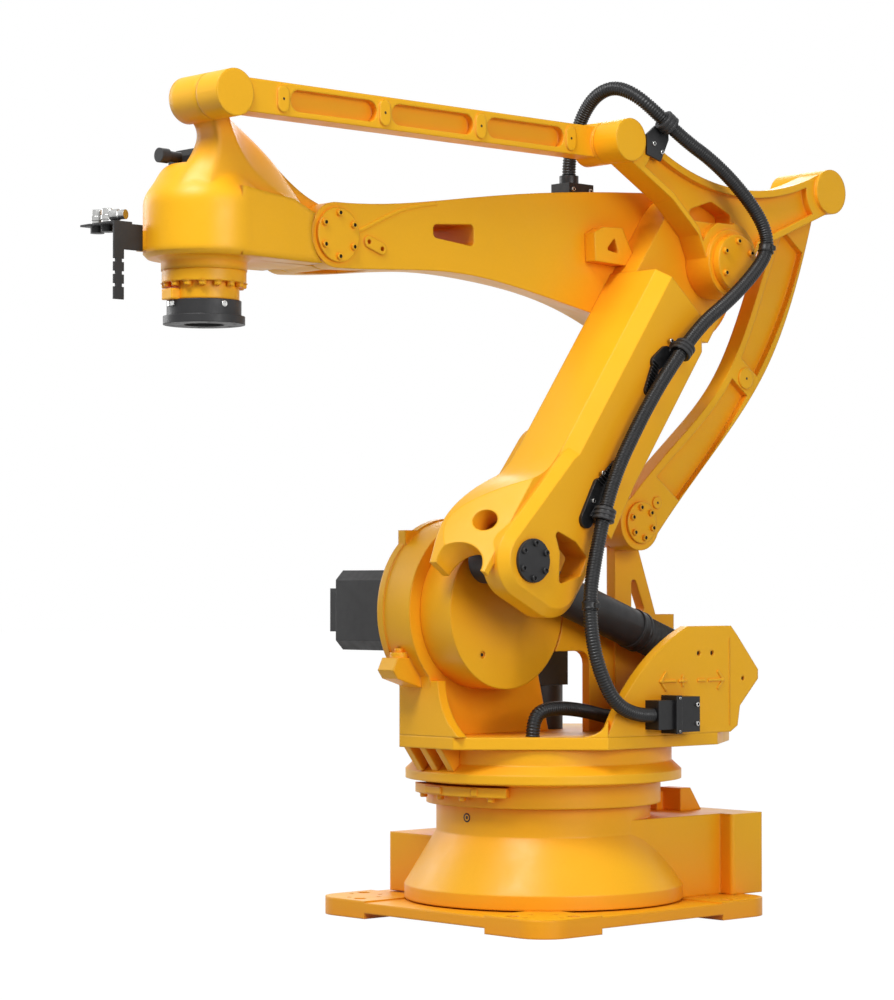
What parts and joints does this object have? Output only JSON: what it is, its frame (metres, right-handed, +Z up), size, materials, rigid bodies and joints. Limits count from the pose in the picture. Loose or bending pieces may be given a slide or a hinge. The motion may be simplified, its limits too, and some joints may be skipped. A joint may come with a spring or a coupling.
{
  "type": "industrial robot arm",
  "caption": "Floor-mounted palletising robot arm with slewing base, parallel-link levelling rods, gas balancer, dress hose and a round tool flange that stays level.",
  "frame": {"origin": "on the slewing axis at floor level, in the middle of the floor anchor holes", "axes": "+X forward over the tool, +Y to the robot's left, +Z up"},
  "size_m": [2.323, 0.932, 2.2099],
  "materials": {
    "yellow_paint": "satin golden-yellow paint on castings",
    "black_paint": "satin black paint",
    "rubber": "matt black rubber",
    "black_plastic": "matt black plastic",
    "steel": "ground steel"
  },
  "bodies": {
    "base": {"base_plate": "yellow_paint", "base_pedestal": "yellow_paint", "rear_connectors": "yellow_paint", "swing_stop": "yellow_paint"},
    "carousel": {"slewing_ring": "yellow_paint", "carousel_floor": "yellow_paint", "shoulder_housing": "yellow_paint", "shoulder_motor": "black_paint", "side_panel": "yellow_paint", "link_tower": "yellow_paint", "balancer_anchor": "yellow_paint", "slew_motor": "black_paint", "hose_block": "black_plastic", "turret_stop": "yellow_paint", "floor_box": "black_paint", "hose_lower": "black_plastic", "floor_hose": "black_plastic"},
    "lower_arm": {"lower_arm": "yellow_paint", "elbow_stop": "yellow_paint", "hose_clamps": "black_plastic", "balancer_pin": "black_paint", "hose_arm": "black_plastic", "hose_elbow": "black_plastic"},
    "balancer_cylinder": {"balancer_barrel": "black_paint", "balancer_boot": "rubber"},
    "balancer_piston": {"balancer_rod": "steel"},
    "rear_link": {"rear_rod": "yellow_paint", "rear_rod_cap": "yellow_paint"},
    "level_lever": {"bell_crank": "yellow_paint", "elbow_cap": "yellow_paint", "lever_bracket": "black_paint"},
    "forearm": {"forearm": "yellow_paint", "forearm_motor": "black_paint", "hose_socket": "black_plastic", "wrist_caps": "yellow_paint", "hose_upper": "black_plastic"},
    "upper_link": {"upper_rod": "yellow_paint"},
    "wrist": {"wrist_head": "yellow_paint", "wrist_motor": "black_paint", "bolt_ring": "yellow_paint", "sensor_bracket": "black_paint"},
    "flange": {"tool_flange": "black_paint"}
  },
  "joints": [
    {"name": "slew", "type": "hinge", "parent": "base", "child": "carousel", "pos_m": [0, 0, 0], "axis": [0, 0, 1], "range_deg": [-180, 180]},
    {"name": "shoulder", "type": "hinge", "parent": "carousel", "child": "lower_arm", "pos_m": [0.248, 0, 0.815], "axis": [0, 1, 0], "range_deg": [-6, 86], "deforming": ["hose_lower"]},
    {"name": "elbow_level", "type": "hinge", "parent": "lower_arm", "child": "level_lever", "pos_m": [-0.43971, 0, 1.76155], "axis": [0, 1, 0], "range_deg": [-86, 6], "deforming": ["hose_elbow"]},
    {"name": "rear_link_foot", "type": "hinge", "parent": "carousel", "child": "rear_link", "pos_m": [-0.178, 0, 1.051], "axis": [0, 1, 0], "range_deg": [-6, 86]},
    {"name": "balancer_front", "type": "hinge", "parent": "lower_arm", "child": "balancer_cylinder", "pos_m": [0.35379, 0, 0.94501], "axis": [0, 1, 0], "range_deg": [-70.52, 4.92]},
    {"name": "balancer_rear", "type": "hinge", "parent": "carousel", "child": "balancer_piston", "pos_m": [-0.43, 0, 0.672], "axis": [0, 1, 0], "range_deg": [-1.08, 15.48]},
    {"name": "elbow", "type": "hinge", "parent": "level_lever", "child": "forearm", "pos_m": [-0.43971, 0, 1.76155], "axis": [0, 1, 0], "range_deg": [-20, 24], "deforming": ["hose_upper"]},
    {"name": "upper_link_rear", "type": "hinge", "parent": "level_lever", "child": "upper_link", "pos_m": [-0.03971, 0, 2.06155], "axis": [0, 1, 0], "range_deg": [-20, 24]},
    {"name": "wrist_level", "type": "hinge", "parent": "forearm", "child": "wrist", "pos_m": [0.83526, 0, 1.75265], "axis": [0, 1, 0], "range_deg": [-24, 20]},
    {"name": "tool_turn", "type": "hinge", "parent": "wrist", "child": "flange", "pos_m": [1.16526, 0, 1.75265], "axis": [0, 0, 1], "range_deg": [-360, 360]}
  ],
  "couplings": [
    {"joint": "elbow_level", "follows": "shoulder", "ratio": -1},
    {"joint": "rear_link_foot", "follows": "shoulder", "ratio": 1},
    {"joint": "balancer_front", "follows": "shoulder", "ratio": -0.82},
    {"joint": "balancer_rear", "follows": "shoulder", "ratio": 0.18},
    {"joint": "upper_link_rear", "follows": "elbow", "ratio": 1},
    {"joint": "wrist_level", "follows": "elbow", "ratio": -1}
  ]
}
